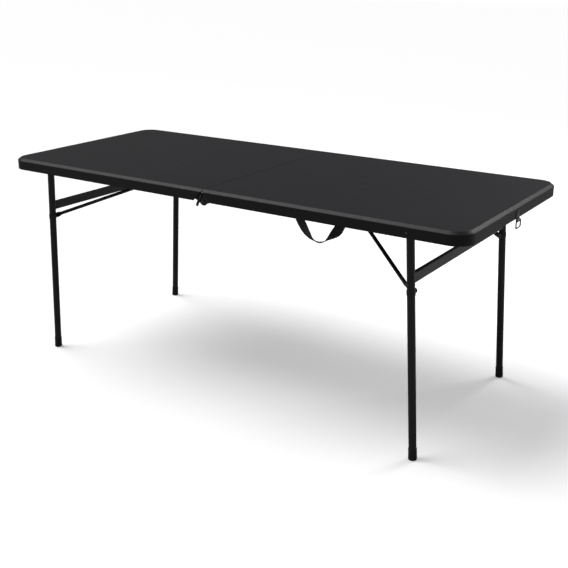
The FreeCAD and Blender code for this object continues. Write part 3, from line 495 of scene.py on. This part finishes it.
def make_half_top(side, sign):
    """One blow-moulded half: rounded skirt, bevelled rim, V notches and a dimpled underside."""
    bm = bmesh.new()
    rim = dimple_field(bm, sign)

    def notched(height):
        return max(SEAM_X, NOTCH_TOP - height)

    bottom, top = TOP_LOW.z, TOP_HIGH.z
    inner = [(SKIRT, PANEL_BOTTOM - 0.5 * MM), (SKIRT, bottom + 0.8 * MM), (SKIRT - 0.8 * MM, bottom)]
    outer = [(0.8 * MM, bottom), (0.2 * MM, bottom + 0.3 * MM), (0, bottom + MM), (0, top - 8.4 * MM),
             (0.4 * MM, top - 7.7 * MM), (3.9 * MM, top - 4.9 * MM)]
    under = add_ring(bm, half_outline(sign, SKIRT + 0.5 * MM, PANEL_BOTTOM, SEAM_X))
    lip = [add_ring(bm, half_outline(sign, inset, height, notched(height)))
           for inset, height in inner + outer]
    seam_rings = [(3.95 * MM, NOTCH_TOP - SEAM_X, SEAM_X), (9.4 * MM, top - 0.5 * MM, SEAM_X),
                  (10 * MM, top - 0.15 * MM, SEAM_X + 0.4 * MM), (11 * MM, top, SEAM_X + MM)]
    upper = [add_ring(bm, half_outline(sign, *ring)) for ring in seam_rings]
    rings = [under, *lip, *upper]
    for first, second in zip(rings, rings[1:]):
        bridge(bm, first, second, closed=False)
    bm.faces.new(upper[-1])

    # The ends of the lip at the notch, the seam's own face and its softened top edge.
    shoulder = {}
    for end in (0, -1):
        y = lip[0][end].co.y
        shoulder[end] = bm.verts.new((sign * SEAM_X, y, NOTCH_TOP - SEAM_X))
        bm.faces.new([ring[end] for ring in lip] + [upper[0][end], shoulder[end]])
        bm.faces.new((under[end], lip[0][end], shoulder[end]))
    front_edge = [under[0], shoulder[0], upper[0][0], upper[1][0]]
    rear_edge = [upper[1][-1], upper[0][-1], shoulder[-1], under[-1]]
    bm.faces.new(front_edge + rear_edge)
    for first, second in zip(upper[1:], upper[2:]):
        bm.faces.new((first[0], second[0], second[-1], first[-1]))
    ring_edges = [bm.edges.get((first, second)) for first, second in zip(under, under[1:] + under[:1])]
    bmesh.ops.triangle_fill(bm, use_beauty=True, use_dissolve=False, edges=rim + [e for e in ring_edges if e])

    # The wall along the seam, short of the rails.
    ends = sorted((sign * SEAM_X, sign * (SEAM_X + WALL_THICK)))
    add_box(bm, (ends[0], -WALL_REACH, bottom), (ends[1], WALL_REACH, PANEL_BOTTOM + MM))
    piece = finish_mesh(bm, f"{side}_moulded_top", 28)
    return dress(piece, PLASTIC, f"{side}_half", "top_plastic", f"{side}_top")


# ------------------------------------------------------------------ legs and braces

LEG_Y = 348 * MM
CAP_RADIUS = 13.7 * MM
CAP_START = 670 * MM
CAP_GROOVES = 3


def make_foot_caps(side, sign):
    """Rubber caps: a rolled upper lip, three shallow grooves and a rounded sole."""
    pivot = Vector(JOINTS[f"{side}_leg_fold"]["pos_m"])
    low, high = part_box(f"{side}_foot_caps")
    spread = abs((low[0] + high[0]) / 2 - pivot.x)
    drop = pivot.z - (low[2] + high[2]) / 2
    down = Vector((sign * spread, 0, -drop)).normalized()
    length = pivot.z / -down.z
    top, sole = CAP_START, length + 0.5 * MM
    profile = [(12.1 * MM, top), (12.9 * MM, top + 0.2 * MM), (13.5 * MM, top + MM),
               (13.5 * MM, top + 3.2 * MM), (12.9 * MM, top + 4 * MM)]
    for groove in range(CAP_GROOVES):
        at = top + (9 + 5 * groove) * MM
        profile += [(13.2 * MM, at), (12.8 * MM, at + 0.7 * MM), (13.2 * MM, at + 1.4 * MM)]
    profile += [(13.5 * MM, top + 26 * MM), (CAP_RADIUS, sole - 5 * MM), (13.4 * MM, sole - 2.6 * MM),
                (12.3 * MM, sole - 1.1 * MM), (10.4 * MM, sole - 0.9 * MM)]
    bm = bmesh.new()
    for _, edge_sign in EDGES:
        base = Vector((pivot.x, edge_sign * LEG_Y, pivot.z))
        add_lathe(bm, profile, base, down)
    for vertex in bm.verts:
        vertex.co.z = max(vertex.co.z, 0)
    piece = finish_mesh(bm, f"{side}_rubber_feet", 50)
    return dress(piece, RUBBER, f"{side}_legs", "foot_rubber", f"{side}_foot_caps")


ROD_RADIUS = 6 * MM
ROD_BEND = 30 * MM
ROD_Y = 328 * MM
CROSS_HALF = 32 * MM
EYE_RADIUS = 9 * MM
EYE_HALF_THICK = 2.4 * MM
EYE_STATIONS = (0.0, 0.02, 0.06, 0.12, 0.2, 0.3, 0.42, 0.56, 0.7, 0.85)


def make_brace(side):
    """The bent rod: flattened eyes, two arms and a cross piece, with real bend radii."""
    stud = Vector(JOINTS[f"{side}_brace_swing"]["pos_m"])
    slide = Vector(JOINTS[f"{side}_slider_pivot"]["pos_m"])
    forward = (slide - stud).normalized()
    reach = (slide - stud).length
    half = [(-EYE_RADIUS, ROD_Y), (26 * MM, ROD_Y), (reach, CROSS_HALF)]
    flat = half + [(u, -y) for u, y in reversed(half)]
    points = [stud + forward * u + Vector((0, y, 0)) for u, y in flat]
    path = rounded_path(points, ROD_BEND, 12)
    # Extra stations near the ends carry the change from flat eye to round rod.
    start = [path[0].lerp(path[1], share) for share in EYE_STATIONS]
    end = [path[-1].lerp(path[-2], share) for share in reversed(EYE_STATIONS)]
    path = start + path[1:-1] + end
    total = sum((b - a).length for a, b in zip(path, path[1:]))

    def shape(travelled):
        away = min(travelled, total - travelled)
        blend = min(1, max(0, (away - 15 * MM) / (22 * MM)))
        blend = blend * blend * (3 - 2 * blend)
        nose = math.sqrt(max(0.02, 1 - max(0, 1 - away / EYE_RADIUS) ** 2))
        tall = EYE_RADIUS * nose * (1 - blend) + ROD_RADIUS * blend
        thick = EYE_HALF_THICK * (1 - blend) + ROD_RADIUS * blend
        return thick, tall, 4 - 2 * blend

    bm = bmesh.new()
    add_loft(bm, tube_rings(path, shape))
    piece = finish_mesh(bm, f"{side}_bent_brace", 50)
    return dress(piece, STEEL, f"{side}_brace_rod", "black_steel", f"{side}_brace")


# -------------------------------------------------------------------- hinge fittings

LEVER_KNOB = 5.4 * MM


def make_lever(edge):
    """The lock lever: a flat arm with a round eye and a round thumb end."""
    pivot = Vector(JOINTS[f"{edge}_lock_swing"]["pos_m"])
    low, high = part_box(f"{edge}_lock_lever")
    eye_radius = high.z - pivot.z
    eye = (pivot.x, pivot.z)
    knob = (low.x + LEVER_KNOB, low.z + LEVER_KNOB)
    lean = math.degrees(math.atan2(eye[0] - knob[0], eye[1] - knob[1]))
    outline = arc_points(knob, LEVER_KNOB, 210 - lean, 330 - lean, 14)
    outline += arc_points(eye, eye_radius, -lean, 180 - lean, 14)
    bm = bmesh.new()
    add_plate(bm, outline, low.y, high.y - low.y, 0.5 * MM)
    piece = finish_mesh(bm, f"{edge}_lock_arm", 40)
    return dress(piece, STEEL, f"{edge}_lock", "black_steel", f"{edge}_lock_lever")


def make_screw_heads(side):
    """Domed heads on the skirt with a small round recess, for the axle's end screws."""
    pivot = Vector(JOINTS[f"{side}_leg_fold"]["pos_m"])
    bm = bmesh.new()
    for _, sign in EDGES:
        face = Vector((pivot.x, sign * TOP_HIGH.y, pivot.z))
        out = Vector((0, sign, 0))
        profile = [(1.7 * MM, -5 * MM), (1.7 * MM, 0), (4 * MM, 0), (4 * MM, 0.4 * MM),
                   (3.6 * MM, 0.9 * MM), (2.8 * MM, 1.2 * MM), (1.6 * MM, 1.38 * MM),
                   (0.9 * MM, 1.4 * MM), (0.7 * MM, 0.7 * MM)]
        add_lathe(bm, profile, face, out, 24)
    piece = finish_mesh(bm, f"{side}_screw_heads", 40)
    return dress(piece, BLACK_ZINC, f"{side}_half", "dark_fasteners", f"{side}_axle_end_screws")


LATCH_TOP_BEND = 4 * MM
LATCH_FOOT_BEND = 12 * MM


def make_latch_wire():
    """The wire loop, bent from one length: tight corners in the barrel and a round foot."""
    pivot = Vector(JOINTS["latch_swing"]["pos_m"])
    low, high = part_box("latch_loop")
    wire = high.x - pivot.x
    half, drop = high.y - wire, pivot.z - low.z - wire
    corners = [(0, half), (-drop, half), (-drop, -half), (0, -half)]
    bends = [LATCH_TOP_BEND, LATCH_FOOT_BEND, LATCH_FOOT_BEND, LATCH_TOP_BEND]
    points = [pivot + Vector((0, y, z)) for z, y in corners]
    path = []
    for index, (corner, bend) in enumerate(zip(points, bends)):
        start = points[index - 1].lerp(corner, 0.5)
        end = corner.lerp(points[(index + 1) % len(points)], 0.5)
        path += rounded_path([start, corner, end], bend, 10)[1:]
    bm = bmesh.new()
    rings = [add_ring(bm, ring) for ring in tube_rings(path, lambda _: (wire, wire, 2), 16, True)]
    for first, second in zip(rings, rings[1:] + rings[:1]):
        bridge(bm, first, second)
    piece = finish_mesh(bm, "bent_latch_wire", 60)
    return dress(piece, STEEL, "latch_wire", "black_steel", "latch_loop")


# ---------------------------------------------------------------------- carry handle

STRAP_WIDTH = 30 * MM
STRAP_THICK = 1.5 * MM
STRAP_PLANE = 370.5 * MM
STRAP_BOW = 7.6 * MM
STRAP_SLANT = math.radians(61)
STRAP_TWIST = math.radians(90)
STRAP_EASE = 1.3
STRAP_SKEW = 1.5
STRAP_LEFT, STRAP_RIGHT = 370.7 * MM, 507.5 * MM
STRAP_TOP, STRAP_EXIT, STRAP_LOW = 708 * MM, 690 * MM, 635 * MM
CUBIC_DEPTH = 0.75
STRAP_STATIONS = 96
STRAP_COLUMNS = 40
STRAP_RIBS = 5
RIB_DEPTH = 0.18
SELVEDGE = 12
PER_METRE = 100


def strap_point(along):
    """A point on the loop's middle line, a cubic curve, and the line's direction there."""
    depth = (STRAP_EXIT - STRAP_LOW) / CUBIC_DEPTH
    inward = depth / math.tan(STRAP_SLANT)
    poles = [
        Vector((STRAP_LEFT, 0, STRAP_EXIT)), Vector((STRAP_LEFT + inward, 0, STRAP_EXIT - depth)),
        Vector((STRAP_RIGHT - inward, 0, STRAP_EXIT - depth)), Vector((STRAP_RIGHT, 0, STRAP_EXIT)),
    ]
    back = 1 - along
    shares = (back ** 3, 3 * along * back ** 2, 3 * along ** 2 * back, along ** 3)
    point = sum((pole * share for pole, share in zip(poles, shares)), Vector((0, 0, 0)))
    slopes = (back ** 2, 2 * along * back, along ** 2)
    steps = [after - before for before, after in zip(poles, poles[1:])]
    run = sum((step * share for step, share in zip(steps, slopes)), Vector((0, 0, 0))).normalized()
    return point, run


def strap_frame(along):
    """The middle of the webbing and its three directions at a share of the loop, 0 to 1."""
    point, run = strap_point(along)
    share = max(0, math.sin(math.pi * along ** STRAP_SKEW)) ** STRAP_EASE
    across = Matrix.Rotation(STRAP_TWIST * share, 3, run) @ Vector((0, 1, 0)).cross(run)
    out = STRAP_PLANE + STRAP_BOW * share
    return point - Vector((0, out, 0)), run, across, run.cross(across)


def make_strap():
    """Webbing that hangs in a loop, with soft ribs and rolled selvedges."""
    stations = [strap_frame(index / STRAP_STATIONS) for index in range(STRAP_STATIONS + 1)]
    rise = STRAP_TOP - STRAP_EXIT
    lead, tail = [], []
    for share in (1, 0.5):
        for ends, (centre, run, *rest) in ((lead, stations[0]), (tail, stations[-1])):
            ends.append((centre + run * (rise * share / run.z), run, *rest))
    tail.reverse()
    stations = lead + stations + tail
    bm = bmesh.new()
    layer = bm.loops.layers.uv.new("strap")
    marks = {}
    rings, travelled = [], 0
    for index, (centre, _, across, through) in enumerate(stations):
        travelled += (centre - stations[index - 1][0]).length if index else 0
        ring = []
        for face, order in ((1, range(STRAP_COLUMNS + 1)), (-1, range(STRAP_COLUMNS, -1, -1))):
            for column in order:
                share = 2 * column / STRAP_COLUMNS - 1
                edge = math.sqrt(max(0, 1 - abs(share) ** SELVEDGE))
                rib = 1 - RIB_DEPTH + RIB_DEPTH * abs(math.cos(math.pi * STRAP_RIBS * (share + 1) / 2))
                sideways = share * STRAP_WIDTH / 2
                outward = face * edge * rib * STRAP_THICK / 2
                vertex = bm.verts.new(centre + across * sideways + through * outward)
                marks[vertex] = (sideways * PER_METRE, travelled * PER_METRE)
                ring.append(vertex)
        rings.append(ring)
    for first, second in zip(rings, rings[1:]):
        bridge(bm, first, second)
    bm.faces.new(rings[0])
    bm.faces.new(reversed(rings[-1]))
    for face in bm.faces:
        for loop in face.loops:
            loop[layer].uv = marks[loop.vert]
    bmesh.ops.remove_doubles(bm, verts=bm.verts, dist=1e-6)
    piece = finish_mesh(bm, "webbing_handle", 60)
    return dress(piece, WEBBING, "right_half", "webbing", "handle_strap")


# ------------------------------------------------------------------- floor and light

def make_floor():
    bm = bmesh.new()
    bmesh.ops.create_grid(bm, x_segments=1, y_segments=1, size=30)
    floor = finish_mesh(bm, "floor")
    floor.data.materials.append(floor_material())


def add_area(name, place, aim, size, power):
    light = bpy.data.lights.new(name, "AREA")
    light.shape = "RECTANGLE"
    light.size, light.size_y = size
    light.energy = power
    lamp = bpy.data.objects.new(name, light)
    lamp.location = place
    lamp.rotation_euler = (Vector(aim) - Vector(place)).to_track_quat("-Z", "Y").to_euler()
    bpy.context.collection.objects.link(lamp)


WORLD_LIGHT = 0.15
WORLD_SEEN = 1.0


def make_world():
    """A white surround: bright where it is seen, dim as light."""
    world = bpy.data.worlds.new("studio")
    bpy.context.scene.world = world
    world.use_nodes = True
    nodes, links = world.node_tree.nodes, world.node_tree.links
    background = nodes["Background"]
    background.inputs["Color"].default_value = (1, 1, 1, 1)
    seen = nodes.new("ShaderNodeLightPath").outputs["Is Camera Ray"]
    strength = nodes.new("ShaderNodeMapRange")
    strength.inputs["To Min"].default_value = WORLD_LIGHT
    strength.inputs["To Max"].default_value = WORLD_SEEN
    links.new(seen, strength.inputs["Value"])
    links.new(strength.outputs["Result"], background.inputs["Strength"])


def add_sky_light(direction, strength, width):
    """A broad soft light from one side of the sky."""
    light = bpy.data.lights.new("sky_light", "SUN")
    light.energy = strength
    light.angle = math.radians(width)
    lamp = bpy.data.objects.new("sky_light", light)
    lamp.rotation_euler = Vector(direction).to_track_quat("Z", "Y").to_euler()
    bpy.context.collection.objects.link(lamp)


CAMERA_PLACE = (1.7795, -2.5422, 1.4089)
CAMERA_DIP = 0.3418
CAMERA_TURN = 0.5942
CAMERA_LENS = 57.30
CAMERA_SENSOR = 36


def make_camera():
    """The camera stands ahead of the handle's corner and looks down the table."""
    camera = bpy.data.cameras.new("camera")
    camera.sensor_width = CAMERA_SENSOR
    camera.lens = CAMERA_LENS
    eye = bpy.data.objects.new("camera", camera)
    eye.location = CAMERA_PLACE
    eye.rotation_euler = (math.pi / 2 - CAMERA_DIP, 0, CAMERA_TURN)
    bpy.context.collection.objects.link(eye)
    bpy.context.scene.camera = eye


make_camera()
make_world()
make_floor()
add_sky_light(direction=(-0.5, -0.1, 0.86), strength=2.4, width=42)
add_area("right_back", place=(3.6, 2.4, 1.1), aim=(0.9, 0.0, 0.7), size=(1.8, 1.6), power=10)
add_area("right_top", place=(1.7, 3.1, 3.0), aim=(0.9, 0.0, 0.7), size=(1.6, 1.2), power=60)
add_area("left_front", place=(-3.0, -3.2, 1.5), aim=(0.0, 0.0, 0.5), size=(0.8, 2.2), power=5)
bpy.context.scene.view_settings.view_transform = "Standard"

for side_name, side_sign in SIDES:
    make_half_top(side_name, side_sign)
    make_foot_caps(side_name, side_sign)
    make_brace(side_name)
    make_screw_heads(side_name)
for edge_name, _ in EDGES:
    make_lever(edge_name)
make_latch_wire()
make_strap()
